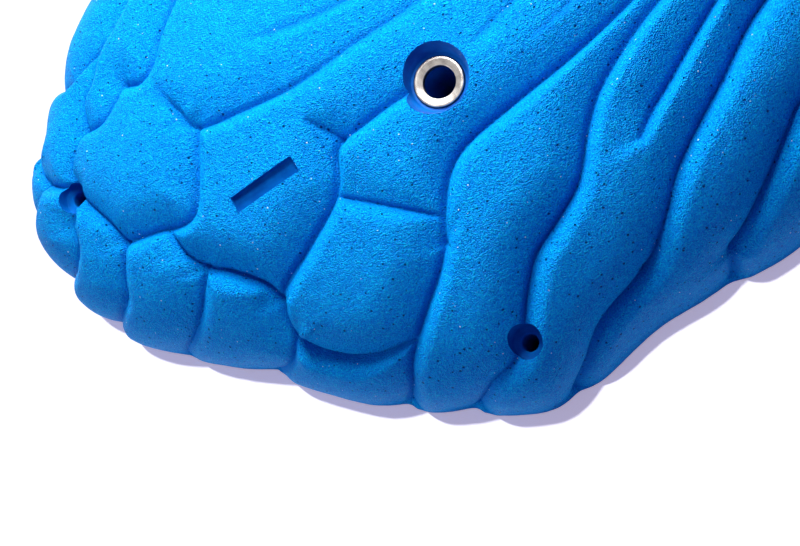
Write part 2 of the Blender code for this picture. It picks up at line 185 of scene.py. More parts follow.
def domePoint(way, bearing):
    radius = np.interp(way, wayShare, radiusShare) * rimRadius(bearing)
    height = np.interp(way, wayShare, heightShare) * dome["height"]
    return np.stack([radius * np.cos(bearing), radius * np.sin(bearing), height], axis=-1)


def domeNormal(way, bearing, nudge=0.004):
    along = domePoint(np.minimum(way + nudge, 1.0), bearing)
    along = along - domePoint(np.maximum(way - nudge, 0.0), bearing)
    around = domePoint(way, bearing + nudge) - domePoint(way, bearing - nudge)
    normal = np.cross(along, around)
    return normal / np.linalg.norm(normal, axis=-1, keepdims=True)


# A place on the skin map lies as far out as its share of the way down the skin
def skinToDome(x, y):
    bearing = np.arctan2(y, x)
    return domePoint(np.clip(np.hypot(x, y) / rimRadius(bearing), 0.0, 1.0), bearing)


# A place in plan lies where it is seen from above
def domeOver(x, y):
    bearing = np.arctan2(y, x)
    return domePoint(np.interp(np.hypot(x, y) / rimRadius(bearing), radiusShare, wayShare), bearing)


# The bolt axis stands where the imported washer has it
washerLow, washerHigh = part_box("bolt_washer")
boltAxis = Vector(((washerLow.x + washerHigh.x) / 2, (washerLow.y + washerHigh.y) / 2, 0.0))


# Helpers for objects and meshes: millimetres round the bolt axis go to metres in the frame, and back

def newObject(name, data):
    item = bpy.data.objects.new(name, data)
    bpy.context.scene.collection.objects.link(item)
    return item


def meshFromPoints(name, points, edges, faces):
    mesh = bpy.data.meshes.new(name)
    places = np.asarray(points, dtype=float) * mm + np.array(boltAxis)
    mesh.from_pydata(places.tolist(), edges, faces)
    return mesh


def objectFromBm(name, bm):
    toFrame = Matrix.Translation(boltAxis) @ Matrix.Scale(mm, 4)
    bmesh.ops.transform(bm, matrix=toFrame, verts=bm.verts)
    mesh = bpy.data.meshes.new(name)
    bm.to_mesh(mesh)
    bm.free()
    return newObject(name, mesh)


def readVectors(items, name):
    values = np.zeros(len(items) * 3)
    items.foreach_get(name, values)
    return values.reshape(-1, 3)


def fromFrame(places):
    return (places - np.array(boltAxis)) / mm


def addAttribute(mesh, name, kind, values):
    layer = mesh.attributes.new(name, kind, "POINT")
    layer.data.foreach_set("vector" if kind == "FLOAT_VECTOR" else "value", np.ravel(values))


def evaluatedMesh(item):
    graph = bpy.context.evaluated_depsgraph_get()
    return bpy.data.meshes.new_from_object(item.evaluated_get(graph), depsgraph=graph)


# Cracks over the skin: half width in mm, then places with the depth there in hundredths of crackDepth
cracks = {
    "leftLobeEdge": (1.8, (-6.9, 54.4, 69), (-11.3, 44.1, 93), (-15.6, 36.3, 107), (-20, 32.1, 107),
                     (-23.7, 29.3, 107), (-26.4, 29, 107), (-29.9, 29.2, 106), (-32.3, 31.1, 101),
                     (-35.3, 32.8, 94), (-42.5, 38, 82)),
    "smallLobeLeft": (1.6, (-23.8, 29.3, 72), (-25.5, 27.5, 79), (-26.5, 25.7, 79), (-28.3, 24, 86),
                      (-29.2, 20.7, 114)),
    "smallLobeFoot": (1.6, (-29.2, 20.7, 104), (-26.8, 19.6, 85), (-24.8, 20.6, 91), (-23.5, 21.9, 104)),
    "topLobeFoot": (1.6, (-23.5, 21.9, 114), (-21.8, 20.4, 86), (-20.1, 21, 79), (-18.5, 23.6, 93),
                    (-16.7, 25.7, 100), (-14.4, 28.1, 93), (-10.6, 32.8, 93), (-6.3, 40.6, 100),
                    (-2.5, 53.6, 83)),
    "bigCellLeft": (1.8, (-29.2, 20.7, 116), (-30.7, 19.4, 109), (-32.2, 17.7, 116), (-32.4, 16, 124),
                    (-32.2, 14.5, 109)),
    "hollowLobeLeft": (1.8, (-46.3, 32.8, 71), (-40.7, 28.5, 78), (-38, 26, 79), (-38.1, 23.3, 80),
                       (-36.7, 19.9, 91)),
    "hollowLobeFoot": (2, (-36.7, 19.9, 91), (-34.9, 17.8, 105), (-33.3, 16.4, 111), (-32.4, 16, 105)),
    "screwLobeLeft": (1.8, (-36.7, 19.9, 91), (-38.4, 19.3, 88), (-41, 19, 85), (-44.1, 19.2, 79),
                      (-51.3, 21.6, 71)),
    "screwLobeRight": (1.8, (-33, 13.6, 62), (-33.7, 12.5, 80), (-34.7, 11.7, 93), (-35.4, 9.8, 93),
                       (-36.9, 8.7, 92), (-40, 8.5, 86), (-51.6, 10.8, 71)),
    "bigCellFootLeft": (1.2, (-32.2, 14.5, 98), (-31.7, 12.7, 85), (-30.4, 8.4, 85), (-30, 5.5, 98)),
    "bigCellFoot": (1.8, (-30, 5.5, 109), (-26.6, 4.1, 109), (-24.1, 2.8, 109), (-22.2, 3.3, 102),
                    (-20.4, 6.8, 102), (-18.7, 11.1, 109)),
    "rimSeamOne": (1.8, (-30, 5.5, 93), (-32.2, 2.5, 93), (-34.2, 0.5, 93), (-39.1, 0, 83),
                   (-47.9, 1.3, 71)),
    "recessCellLeft": (1.2, (-25.3, 3.2, 78), (-25.1, -0.3, 91), (-24.4, -2.9, 110)),
    "rimSeamTwo": (1.6, (-24.4, -2.9, 105), (-25.6, -4.4, 93), (-28.1, -6.7, 86), (-32.4, -8.2, 69),
                   (-41.9, -8.2, 38)),
    "recessCellFoot": (1.8, (-24.4, -2.9, 124), (-22.7, -4.9, 124), (-20.8, -8.3, 124),
                       (-20.6, -10.8, 116)),
    "recessCellRight": (1.8, (-8.7, 0.3, 116), (-9.6, -0.6, 116), (-11.4, -4.5, 116), (-15.4, -7.4, 116),
                        (-19.8, -9.8, 116), (-20.6, -10.8, 116)),
    "lowCellEdge": (1.8, (-20.6, -10.8, 116), (-21.6, -13.7, 116), (-21.7, -16.2, 116),
                    (-20.4, -18.9, 116), (-18.5, -21, 124), (-16.1, -22.2, 124), (-12.9, -22.6, 116)),
    "rimSeamThree": (1.6, (-22, -14.8, 93), (-23.2, -16, 86), (-25.7, -17.3, 68), (-33.8, -17.7, 57)),
    "boltCellLeft": (1.6, (-10.3, 4.3, 13), (-9.7, 2.8, 52), (-9.2, 1.6, 85), (-8.7, 0.3, 104)),
    "boltCellTop": (1.8, (-8.7, 0.3, 104), (-6.8, 0.4, 104), (-4.8, 0.6, 98), (-2.2, 0.6, 85)),
    "boltCellFoot": (1.2, (-11.4, -4.5, 78), (-8.8, -7.7, 72), (-5, -12.6, 85)),
    "tongueEdge": (1.8, (-20.1, 19.9, 0), (-20, 16.5, 39), (-19.5, 13.9, 78), (-18.7, 11.1, 98),
                   (-14.3, 9.4, 85), (-9.8, 8.2, 65), (-4.9, 8.2, 45), (0.9, 8.2, 29), (6.9, 8.6, 0)),
    "lowCellRight": (1.8, (-5.9, -15.2, 109), (-7.7, -17.6, 116), (-10.2, -20.2, 116),
                     (-12.6, -22.7, 116), (-14.6, -25, 109), (-17.3, -28.6, 99), (-21.7, -32.6, 84)),
    "ribOne": (1.8, (-5.9, -15.2, 117), (-4.9, -12.7, 117), (-2.9, -9.2, 125), (-0.4, -7.4, 125),
               (4.2, -6.4, 125), (9.6, -5.4, 117), (15, -3.8, 101), (21.9, -0.9, 94), (30, 4.3, 101),
               (39.1, 10.8, 99), (46.9, 16.4, 90)),
    "ribTwo": (1.8, (-15.6, -38.2, 90), (-12.5, -34.7, 82), (-9.7, -32, 75), (-6.9, -30.8, 86),
               (-5, -29.1, 109), (-2.7, -25.2, 125), (-0.4, -21.6, 125), (2.4, -19.5, 125),
               (5.2, -17.1, 117), (7.9, -12.7, 117), (10.7, -9.4, 109), (16.4, -5.6, 86),
               (24.4, -2.2, 94), (35, 0.9, 109), (48.5, 4.3, 90)),
    "ribThree": (1.6, (10.8, -16.6, 55), (12.5, -14.8, 101), (14.6, -13.1, 117), (18.9, -9.6, 117),
                 (22.8, -6.9, 117), (28.8, -4.8, 94), (38.2, -3.5, 0)),
    "ribFour": (1.8, (-5.5, -43.8, 90), (-4.2, -41, 88), (-1.9, -37.2, 82), (0.9, -33, 89),
                (4.9, -30.8, 115), (6.1, -30, 140), (7.2, -28.6, 109), (10.1, -24.2, 94),
                (12.5, -20.9, 109), (17.7, -16.1, 125), (23.6, -11, 125), (31.3, -7.8, 117),
                (39.1, -7.3, 107), (48.2, -9.5, 90)),
    "ribFive": (1.8, (13.9, -40.9, 72), (13.3, -35.6, 89), (13.5, -34.2, 135), (15.1, -31.4, 107),
                (17.5, -28.2, 109), (20.8, -24.1, 117), (23.1, -21.8, 117), (29.7, -18.6, 117),
                (37.5, -19, 103), (44.7, -24.2, 90)),
    "ribSix": (2, (25, -21.6, 39), (28.8, -27.6, 88), (30.7, -33.7, 90), (32.5, -40.6, 90)),
    "foldOne": (2, (2.7, 0.5, 0), (4.6, 1.4, 20), (7.3, 2.3, 25), (16.3, 5.6, 35), (26.3, 5.2, 0)),
    "foldTwo": (2, (5.9, -2.2, 0), (8.7, -1.7, 22), (11.7, -0.8, 25), (16.3, 0.9, 0)),
    "foldThree": (2, (-12.5, 16.2, 0), (-9.8, 14.9, 20), (-5.5, 13.4, 32), (0.6, 12.5, 30),
                  (7.5, 11.7, 0)),
    "foldFour": (2, (5.6, 5.2, 0), (15, 10.4, 50), (26.3, 15.5, 65), (35, 21.6, 70), (43.2, 28.5, 75)),
    "topRibOne": (2, (-12.5, 25.9, 0), (-5.6, 22.5, 65), (5, 20.7, 91), (15.6, 23.3, 98), (25, 31.1, 95),
                  (30.7, 43.2, 75)),
    "topRibTwo": (2, (-8.1, 31.1, 0), (-1.9, 30.2, 65), (4.4, 32, 91), (10.3, 38.9, 96), (13.8, 53.6, 75)),
    "topRibThree": (2, (15.6, 23.3, 98), (13.1, 29.4, 78), (10.3, 38.9, 96)),
    "topRimSeam": (2, (-15.6, 36.3, 98), (-20, 41.9, 90), (-25, 51.8, 75)),
    "rightCellOne": (2, (35, 21.6, 84), (36.9, 14.7, 85), (34.4, 7.3, 91)),
    "rightCellTwo": (2, (26.3, 15.5, 85), (28.8, 9.5, 65), (26.3, 2.6, 32)),
    "rightCellThree": (2, (35, 7.8, 90), (37.8, 4.3, 86), (36.9, 1.3, 94)),
    "rightCellFour": (2, (25, 31.1, 95), (28.8, 25.1, 78), (35, 21.6, 84)),
}

relief = {
    "crackDepth": 5.2,
    "crackStep": 0.8,
    "pillowReach": 19.0,  # how far from a crack the skin starts to roll down, on its long side
    "shortReach": 7.0,  # and on its short side
    "longSide": (-0.22, 0.93, 0.30),  # direction from a crack to its long side
    "sideBlend": 0.45,  # how softly one reach goes over into the other
    "crackShare": 0.2,  # how much the narrow line in the middle adds to the depth
    "crackWidth": 0.7,  # share of the half width that each crack gives
    "blendPower": 4.0,  # a high power lets the deepest crack win where two meet
    "lumpHeight": 0.5,
    "lumpSize": 16.0,
    "lumpDetail": 1.0,
    "dentHeight": 0.35,
    "dentSize": 5.0,
    "dentDetail": 2.0,
    "seed": 7.0,
    "shallowDepth": 1.2,  # a crack less deep than this counts as further away, by up to shallowAway
    "shallowAway": 4.0,
    "nearScale": 0.1,  # the crackNear attribute for each mm from a crack, up to 1
}


def crackLines():
    points, edges, depths, widths, numbers = [], [], [], [], []
    scale = (*planScale, relief["crackDepth"] / 100)
    for number, (width, *places) in enumerate(cracks.values()):
        path = smoothThrough(np.array(places) * scale, relief["crackStep"])
        first = len(points)
        points.extend(skinToDome(path[:, 0], path[:, 1]))
        edges.extend((first + i, first + i + 1) for i in range(len(path) - 1))
        depths.extend(np.maximum(path[:, 2], 0.0) * mm)
        widths.extend([width * relief["crackWidth"] * mm] * len(path))
        numbers.extend([number] * len(path))
    mesh = meshFromPoints("crackLines", points, edges, [])
    addAttribute(mesh, "depth", "FLOAT", depths)
    addAttribute(mesh, "halfWidth", "FLOAT", widths)
    addAttribute(mesh, "crackNumber", "INT", numbers)
    return newObject("crackLines", mesh)


def domeSolid():
    rings, sectors = dome["rings"], dome["sectors"]
    way = np.concatenate([[dome["poleWay"]], np.repeat(np.arange(1, rings + 1) / rings, sectors)])
    bearing = np.concatenate([[0.0], np.tile(np.arange(sectors) * 2 * math.pi / sectors, rings)])
    points = domePoint(way, bearing)
    outward = domeNormal(way, bearing)
    outward[0] = (0.0, 0.0, 1.0)
    outward[-sectors:, 2] = 0.0  # the edge on the wall moves level, so the back stays flat
    faces = [(0, 1 + i, 1 + (i + 1) % sectors) for i in range(sectors)]
    for ring in range(rings - 1):
        inner, outer = 1 + ring * sectors, 1 + (ring + 1) * sectors
        for i in range(sectors):
            j = (i + 1) % sectors
            faces.append((inner + i, outer + i, outer + j, inner + j))
    edge, middle = len(points) - sectors, len(points)  # the back is a fan round one point
    faces.extend((middle, edge + (i + 1) % sectors, edge + i) for i in range(sectors))
    points = np.vstack([points, [0.0, 0.0, 0.0]])
    outward = np.vstack([outward, [0.0, 0.0, 0.0]])
    mesh = meshFromPoints("domeSolid", points, [], faces)
    addAttribute(mesh, "outward", "FLOAT_VECTOR", outward)
    return newObject("holdBody", mesh)


def namedField(tree, name, kind):
    return addNode(tree, "GeometryNodeInputNamedAttribute", {"data_type": kind}, {"Name": name})


# One round of the repeat zone reads one crack and adds its drop to the skin

def reliefTree(material):
    tree = bpy.data.node_groups.new("reliefTree", "GeometryNodeTree")
    tree.interface.new_socket("Geometry", in_out="OUTPUT", socket_type="NodeSocketGeometry")
    for name, kind in (("Geometry", "Geometry"), ("Crack Lines", "Object"), ("Crack Count", "Int"),
                       ("Pillow Reach", "Float"), ("Short Reach", "Float"), ("Long Side", "Vector"),
                       ("Crack Share", "Float"), ("Blend Power", "Float"), ("Lump Height", "Float"),
                       ("Lump Size", "Float"), ("Dent Height", "Float"), ("Dent Size", "Float"),
                       ("Seed", "Float")):
        tree.interface.new_socket(name, in_out="INPUT", socket_type="NodeSocket" + kind)
    given = addNode(tree, "NodeGroupInput")
    lines = addNode(tree, "GeometryNodeObjectInfo", None, {"Object": given.out("Crack Lines")})
    lines = lines.out("Geometry")

    zoneEnd = tree.nodes.new("GeometryNodeRepeatOutput")
    zoneStart = tree.nodes.new("GeometryNodeRepeatInput")
    zoneStart.pair_with_output(zoneEnd)
    zoneEnd.repeat_items.clear()
    zoneEnd.repeat_items.new("FLOAT", "Drop")
    zoneEnd.repeat_items.new("FLOAT", "Near")
    feed(zoneStart, {"Iterations": given.out("Crack Count"), "Drop": 0.0, "Near": 1.0})
    turn, dropSoFar, nearSoFar = (Wire(zoneStart.outputs[name]) for name in ("Iteration", "Drop", "Near"))

    isThisCrack = addNode(tree, "FunctionNodeCompare", {"data_type": "INT", "operation": "EQUAL"},
                          {"A_INT": namedField(tree, "crackNumber", "INT"), "B_INT": turn})
    line = addNode(tree, "GeometryNodeSeparateGeometry", {"domain": "POINT"},
                   {"Geometry": lines, "Selection": isThisCrack})
    closest = addNode(tree, "GeometryNodeProximity", {"target_element": "EDGES"}, {"Target": line})
    index = addNode(tree, "GeometryNodeSampleNearest", {"domain": "POINT"},
                    {"Geometry": line, "Sample Position": closest})

    def lineValue(name):
        return addNode(tree, "GeometryNodeSampleIndex", {"data_type": "FLOAT", "domain": "POINT"},
                       {"Geometry": line, "Value": namedField(tree, name, "FLOAT"), "Index": index})

    place = addNode(tree, "GeometryNodeInputPosition")
    away = place.vector("SUBTRACT", closest).vector("NORMALIZE")
    side = away.vector("DOT_PRODUCT", given.out("Long Side")).out("Value")
    reach = ease(side, -relief["sideBlend"], relief["sideBlend"],
                 given.out("Short Reach"), given.out("Pillow Reach"))
    distance = closest.out("Distance")
    depth = lineValue("depth")
    pillow = (1.0 - distance / reach).math("MAXIMUM", 0.0) ** 2.0
    narrow = ((distance / lineValue("halfWidth")) ** 2.0 * -1.0).math("EXPONENT") * given.out("Crack Share")
    drop = (depth / mm * (pillow + narrow)) ** given.out("Blend Power")
    shallow = 1.0 - (depth / (relief["shallowDepth"] * mm)).math("MINIMUM", 1.0)
    near = (distance / mm + shallow * relief["shallowAway"]) * relief["nearScale"]
    feed(zoneEnd, {"Drop": dropSoFar + drop, "Near": nearSoFar.math("MINIMUM", near)})
    allDrop, allNear = (Wire(zoneEnd.outputs[name]) for name in ("Drop", "Near"))
    total = allDrop ** (1.0 / given.out("Blend Power")) * mm

    def unevenness(size, height, detail):
        texture = addNode(tree, "ShaderNodeTexNoise", {"noise_dimensions": "4D"},
                          {"Vector": place, "W": given.out("Seed"), "Scale": 1.0 / size, "Detail": detail})
        return (texture - 0.5) * height

    lumps = unevenness(given.out("Lump Size"), given.out("Lump Height"), relief["lumpDetail"])
    dents = unevenness(given.out("Dent Size"), given.out("Dent Height"), relief["dentDetail"])
    offset = addNode(tree, "ShaderNodeVectorMath", {"operation": "SCALE"},
                     {0: namedField(tree, "outward", "FLOAT_VECTOR"), "Scale": lumps + dents - total})
    skin = addNode(tree, "GeometryNodeStoreNamedAttribute", {"data_type": "FLOAT", "domain": "POINT"},
                   {"Geometry": given.out("Geometry"), "Name": "crackNear", "Value": allNear})
    skin = addNode(tree, "GeometryNodeSetPosition", None, {"Geometry": skin, "Offset": offset})
    skin = addNode(tree, "GeometryNodeRealizeInstances", None, {"Geometry": skin})
    skin = addNode(tree, "GeometryNodeSetMaterial", None, {"Geometry": skin, "Material": material})
    feed(tree.nodes.new("NodeGroupOutput"), {"Geometry": skin})
    return tree


def setInputs(modifier, values):
    for item in modifier.node_group.interface.items_tree:
        if item.in_out == "INPUT" and item.name in values:
            modifier[item.identifier] = values[item.name]


def reliefSkin(material):
    body, lines = domeSolid(), crackLines()
    modifier = body.modifiers.new("relief", "NODES")
    modifier.node_group = reliefTree(material)
    setInputs(modifier, {
        "Crack Lines": lines, "Crack Count": len(cracks), "Pillow Reach": relief["pillowReach"] * mm,
        "Short Reach": relief["shortReach"] * mm, "Long Side": relief["longSide"],
        "Crack Share": relief["crackShare"], "Blend Power": relief["blendPower"],
        "Lump Height": relief["lumpHeight"] * mm, "Lump Size": relief["lumpSize"] * mm,
        "Dent Height": relief["dentHeight"] * mm, "Dent Size": relief["dentSize"] * mm,
        "Seed": relief["seed"]})
    thin = body.modifiers.new("thin", "DECIMATE")
    thin.ratio = dome["skinTriangles"] / (2 * dome["rings"] * dome["sectors"])
    mesh = evaluatedMesh(body)
    for used in (body, lines):
        bpy.data.objects.remove(used)
    print("relief skin", len(mesh.polygons), "triangles")
    return newObject("holdBody", mesh)


# Holes and hollow, cut as in the solid model

holes = {
    "boltBore": 12.0,
    "washerPocket": 17.6,
    "washerPocketDepth": 2.5,
    "counterboreDepth": 6.8,
    "counterboreFloor": 19.4,
    "counterboreMouth": 24.0,
    "floorRise": 0.8,  # height above its floor where the counterbore's wall starts to round
    "floorRound": ((0.1, 0.2), (0.7, 0.0)),  # inward and up from the floor's corner
    "screwBore": 5.8,
    "screwPocket": 11.4,
    "screwRound": ((0.0, 0.8), (0.25, 0.25), (0.8, 0.0)),
    "screwBevel": 0.4,
    "boltSegments": 96,
    "screwSegments": 64,
    "screws": {"front": (-6.0, -36.6), "left": (-42.3, 18.8)},  # places in plan
    "screwDepth": {"front": 9.5, "left": 10.5},
    "recessMiddle": (-20.9, 0.7),
    "recessLength": 25.5,
    "recessWidth": 5.8,
    "recessDepth": 2.2,
    "recessCorner": 0.6,
    "recessFloorRound": 0.35,
    "overshoot": 5.0,  # how far the cutters reach past the top and the back
}

hollow = {
    "levels": ((34.0, 38.0), (22.0, 18.0), (0.0, 13.0), (-5.0, 13.0)),  # height, and inset from the rim
    "sectors": 180,
    "boltBoss": 42.0,
    "screwBoss": 20.0,
    "bossSegments": 64,
    "ribThickness": 6.0,
    "postEnds": (70.0, -10.0),  # posts and ribs are taken from the hollow's cutter, so they reach past it
    "ribLength": 500.0,
    "ribHeight": 200.0,
}

screwPlaces = {name: np.array(place) * planScale for name, place in holes["screws"].items()}


def closeBands(bm, loops):
    for upper, lower in zip(loops, loops[1:]):
        for i in range(len(upper)):
            j = (i + 1) % len(upper)
            bm.faces.new(dict.fromkeys((upper[i], lower[i], lower[j], upper[j])))
    bmesh.ops.recalc_face_normals(bm, faces=bm.faces)


def lathe(name, profile, segments, centre=(0.0, 0.0)):
    bm = bmesh.new()
    turns = [2 * math.pi * i / segments for i in range(segments)]
    loops = []
    for radius, height in profile:
        if radius == 0.0:
            loops.append([bm.verts.new((*centre, height))] * segments)
        else:
            loops.append([bm.verts.new((centre[0] + radius * math.cos(a), centre[1] + radius * math.sin(a),
                                        height)) for a in turns])
    if profile[0][0] > 0.0:
        loops.append(loops[0])  # a ring with a bore closes on itself
    closeBands(bm, loops)
    return objectFromBm(name, bm)


def boltTool():
    over, rise = holes["overshoot"], holes["floorRise"]
    floor, top = dome["height"] - holes["counterboreDepth"], dome["height"] + over
    floorRadius, mouthRadius = holes["counterboreFloor"] / 2, holes["counterboreMouth"] / 2
    taper = (mouthRadius - floorRadius) / holes["counterboreDepth"]
    pocket, bore = holes["washerPocket"] / 2, holes["boltBore"] / 2
    pocketFloor = floor - holes["washerPocketDepth"]
    profile = [(0.0, top), (mouthRadius + taper * over, top), (floorRadius + taper * rise, floor + rise)]
    profile += [(floorRadius - inward, floor + up) for inward, up in holes["floorRound"]]
    profile += [(pocket, floor), (pocket, pocketFloor), (bore, pocketFloor), (bore, -over), (0.0, -over)]
    return lathe("boltTool", profile, holes["boltSegments"])


def screwTool(name, x, y, depth):
    over, bevel = holes["overshoot"], holes["screwBevel"]
    floor, top = domeOver(x, y)[2] - depth, dome["height"] + over
    pocket, bore = holes["screwPocket"] / 2, holes["screwBore"] / 2
    profile = [(0.0, top), (pocket, top)]
    profile += [(pocket - inward, floor + up) for inward, up in holes["screwRound"]]
    profile += [(bore + bevel, floor), (bore, floor - bevel), (bore, -over), (0.0, -over)]
    return lathe(name + "ScrewTool", profile, holes["screwSegments"], (x, y))


# The recess follows the skin: its four side points on the relief give its tilt

def recessTool(skin):
    over, depth = holes["overshoot"], holes["recessDepth"]
    x, y = np.array(holes["recessMiddle"]) * planScale
    x = x + np.array([-0.5, 0.5, 0.0, 0.0]) * holes["recessLength"]
    y = y + np.array([0.0, 0.0, -0.5, 0.5]) * holes["recessWidth"]
    sides = [Vector(skin[np.hypot(*(skin - place)[:, :2].T).argmin()]) for place in domeOver(x, y)]
    left, right, low, high = sides
    along = (right - left).normalized()
    normal = along.cross(high - low).normalized()
    across = normal.cross(along)
    bm = bmesh.new()
    bmesh.ops.create_cube(bm, size=1.0)
    bmesh.ops.scale(bm, verts=bm.verts, vec=(holes["recessLength"], holes["recessWidth"], 2 * over))
    upright = [e for e in bm.edges if e.verts[0].co.z * e.verts[1].co.z < 0.0]
    bmesh.ops.bevel(bm, geom=upright, offset=holes["recessCorner"], segments=4, affect="EDGES", profile=0.5)
    lowest = [e for e in bm.edges if e.verts[0].co.z < 0.0 and e.verts[1].co.z < 0.0]
    bmesh.ops.bevel(bm, geom=lowest, offset=holes["recessFloorRound"], segments=3, affect="EDGES",
                    profile=0.5)
    middle = sum(sides, Vector()) / 4 + normal * (over - depth)
    turn = Matrix((along, across, normal)).transposed()
    bmesh.ops.transform(bm, matrix=Matrix.Translation(middle) @ turn.to_4x4(), verts=bm.verts)
    return objectFromBm("recessTool", bm), np.array(turn), np.array(middle)


def cutAway(item, tools):
    for tool in tools:
        cut = item.modifiers.new(tool.name, "BOOLEAN")
        cut.operation = "DIFFERENCE"
        cut.solver = "MANIFOLD"
        cut.object = tool
    name, mesh = item.name, evaluatedMesh(item)
    for used in (item, *tools):
        bpy.data.objects.remove(used)
    return newObject(name, mesh)


def hollowTool():
    bm = bmesh.new()
    turns = np.arange(hollow["sectors"]) * 2 * math.pi / hollow["sectors"]
    loops = []
    for height, inset in hollow["levels"]:
        radius = rimRadius(turns) - inset
        loops.append([bm.verts.new((r * math.cos(a), r * math.sin(a), height))
                      for r, a in zip(radius, turns)])
    bm.faces.new(loops[0])
    bm.faces.new(loops[-1])
    closeBands(bm, loops)
    space = objectFromBm("hollowTool", bm)

    def post(name, diameter, x, y):
        radius, (top, foot) = diameter / 2, hollow["postEnds"]
        profile = [(0.0, top), (radius, top), (radius, foot), (0.0, foot)]
        return lathe(name, profile, hollow["bossSegments"], (x, y))

    def rib(name, length, width):
        ribBm = bmesh.new()
        bmesh.ops.create_cube(ribBm, size=1.0)
        bmesh.ops.scale(ribBm, verts=ribBm.verts, vec=(length, width, hollow["ribHeight"]))
        return objectFromBm(name, ribBm)

    standing = [post("boltBoss", hollow["boltBoss"], 0.0, 0.0),
                rib("ribAlong", hollow["ribLength"], hollow["ribThickness"]),
                rib("ribAcross", hollow["ribThickness"], hollow["ribLength"])]
    standing += [post("screwBoss", hollow["screwBoss"], x, y) for x, y in screwPlaces.values()]
    return cutAway(space, standing)


# Finishes

def newMaterial(name):
    material = bpy.data.materials.new(name)
    material.use_nodes = True
    return material, material.node_tree, material.node_tree.nodes["Principled BSDF"]


def mixColour(factor, first, second):
    source = next(v for v in (factor, first, second) if isinstance(v, Wire))
    first, second = (v if isinstance(v, Wire) else (*v, 1.0) for v in (first, second))
    return addNode(source.tree, "ShaderNodeMix", {"data_type": "RGBA"},
                   {"Factor_Float": factor, "A_Color": first, "B_Color": second}).out("Result_Color")


def placeInMm(tree):
    place = addNode(tree, "ShaderNodeTexCoord").out("Object")
    return addNode(tree, "ShaderNodeVectorMath", {"operation": "SCALE"}, {0: place, "Scale": 1.0 / mm})


def noise(place, size, detail=2.0, roughness=0.5):
    return addNode(place.tree, "ShaderNodeTexNoise", None,
                   {"Vector": place, "Scale": 1.0 / size, "Detail": detail, "Roughness": roughness})


# Round spots in some of the cells of a random pattern, each of its own size, soft towards the edge
def spots(place, spacing, radii, share, core=0.45):
    cells = addNode(place.tree, "ShaderNodeTexVoronoi", None, {"Vector": place, "Scale": 1.0 / spacing})
    chance = addNode(place.tree, "ShaderNodeSeparateColor", None, {"Color": cells.out("Color")})
    present = chance.math("LESS_THAN", share)
    radius = (chance.out("Green") * (radii[1] - radii[0]) + radii[0]) / spacing
    return ease(cells / radius, 1.0, core) * present


def bump(height, depth, strength=1.0):
    return addNode(height.tree, "ShaderNodeBump", None,
                   {"Strength": strength, "Distance": depth * mm, "Height": height})


castSand = {
    "deep": (0.0001, 0.14, 0.60),
    "mid": (0.0001, 0.27, 0.75),
    "pale": (0.001, 0.47, 0.80),
    # painted shade: the near-black colour of the small pits, for the shade inside them
    "paintedPoreShade": (0.0001, 0.03, 0.18),
    # painted highlight: pale specks for light glinting on the grains
    "paintedGlint": (0.65, 0.88, 0.98),
    "deepToMid": (0.3, 0.5),
    "midToPale": (0.48, 0.66),
    "grainSize": 0.46,
    "lumpSize": 2.6,  # times the grain's size
    "coarseSize": 9.0,  # times the grain's size
    "colourShares": (0.7, 0.18, 0.12),  # of grain, lumps and coarse patches
    "rises": (1.0, 0.7, 0.5),  # of the same three
    "grainDepth": 1.0,
    "poreSpacing": 2.0,
    "poreRadius": (0.25, 0.55),
    "poreShare": 0.34,
    "paintedPoreShadeAmount": 0.9,
    "poreDrop": 1.2,
    "glintSpacing": 2.2,
    "glintRadius": (0.16, 0.36),
    "glintShare": 0.16,
    "glintRise": 0.2,
    "crackNear": (0.28, 0.02),  # crackNear values between which painted shade takes the colour towards the deep one, near the cracks
    "paintedCrackShade": 0.5,
    "roughness": 0.42,
    "glintShine": 0.15,
    "shine": 0.03,
}


def sandyCast():
    material, tree, shader = newMaterial("sandyCast")
    place, look = placeInMm(tree), castSand
    grain = noise(place, look["grainSize"], 1.0, 0.5)
    lumps = noise(place, look["grainSize"] * look["lumpSize"], 2.0, 0.6)
    coarse = noise(place, look["grainSize"] * look["coarseSize"], 3.0, 0.6)
    pores = spots(place, look["poreSpacing"], look["poreRadius"], look["poreShare"])
    glints = spots(place, look["glintSpacing"], look["glintRadius"], look["glintShare"])
    crack = addNode(tree, "ShaderNodeAttribute", {"attribute_name": "crackNear"}).out("Fac")
    # painted shade: a mask that is strongest right at the cracks
    paintedCrackShadeMask = ease(crack, *look["crackNear"])

    def blend(shares):
        return grain * shares[0] + lumps * shares[1] + coarse * shares[2]

    level = blend(look["colourShares"])
    colour = mixColour(ease(level, *look["deepToMid"]), look["deep"], look["mid"])
    colour = mixColour(ease(level, *look["midToPale"]), colour, look["pale"])
    # painted shade in the cracks: the colour goes towards the deep blue there
    colour = mixColour(paintedCrackShadeMask * look["paintedCrackShade"], colour, look["deep"])
    # painted shade in the pores
    colour = mixColour(pores * look["paintedPoreShadeAmount"], colour, look["paintedPoreShade"])
    # painted highlights: pale specks on the glints, which are also smoother and a little raised
    colour = mixColour(glints, colour, look["paintedGlint"])
    height = blend(look["rises"]) - pores * look["poreDrop"] + glints * look["glintRise"]
    feed(shader, {"Base Color": colour, "Roughness": look["roughness"] - glints * look["glintShine"],
                  "Normal": bump(height, look["grainDepth"]), "Specular IOR Level": look["shine"]})
    return material


# Smooth cast faces: one finish for the counterbore and the hollow, one for the screw pockets and the recess.
# Both are a darker blue than the sand: painted shade inside the counterbore, the hollow and the screw
# pockets, and the recess floor's own darker colour

smoothFaces = {
    "counterboreCast": {"dark": (0.0004, 0.08, 0.36), "light": (0.0006, 0.15, 0.52), "shine": 0.1},
    "pocketCast": {"dark": (0.0004, 0.08, 0.34), "light": (0.0006, 0.14, 0.48), "shine": 0.03},
}

